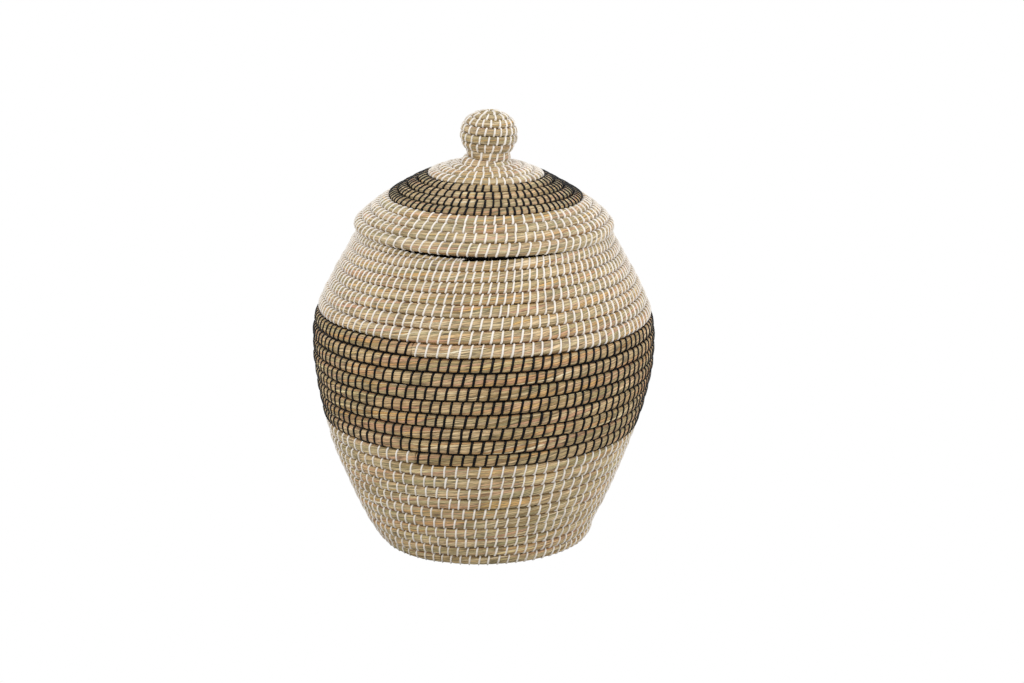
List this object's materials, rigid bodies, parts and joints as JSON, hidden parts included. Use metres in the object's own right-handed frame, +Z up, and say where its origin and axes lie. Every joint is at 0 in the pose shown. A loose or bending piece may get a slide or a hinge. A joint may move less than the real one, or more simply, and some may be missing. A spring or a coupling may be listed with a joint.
{
  "type": "lidded seagrass basket",
  "caption": "Bellied round storage basket of coiled seagrass bundle sewn with light and dark strip, with a domed lift-off lid and a coiled ball knob.",
  "frame": {"origin": "on the floor under the middle of the basket", "axes": "+Z up along the basket's axis; the front of the picture faces -Y and its right side +X"},
  "size_m": [0.3851, 0.3781, 0.4813],
  "materials": {
    "seagrass": "dry plant stems, matte with a faint sheen",
    "light_strip": "flat off-white sewing strip",
    "dark_strip": "flat black sewing strip, slightly shiny"
  },
  "bodies": {
    "basket": {"base_coil": "seagrass", "lower_wall_coil": "seagrass", "band_wall_coil": "seagrass", "upper_wall_coil": "seagrass"},
    "lid": {"knob_and_crown_coil": "seagrass", "lid_band_coil": "seagrass", "lid_brim_coil": "seagrass", "knob_core": "seagrass", "lid_locating_ring": "seagrass"}
  },
  "joints": [
    {"name": "lid_lift", "type": "slide", "parent": "basket", "child": "lid", "axis": [0, 0, 1], "range_m": [0, 0.25]}
  ]
}
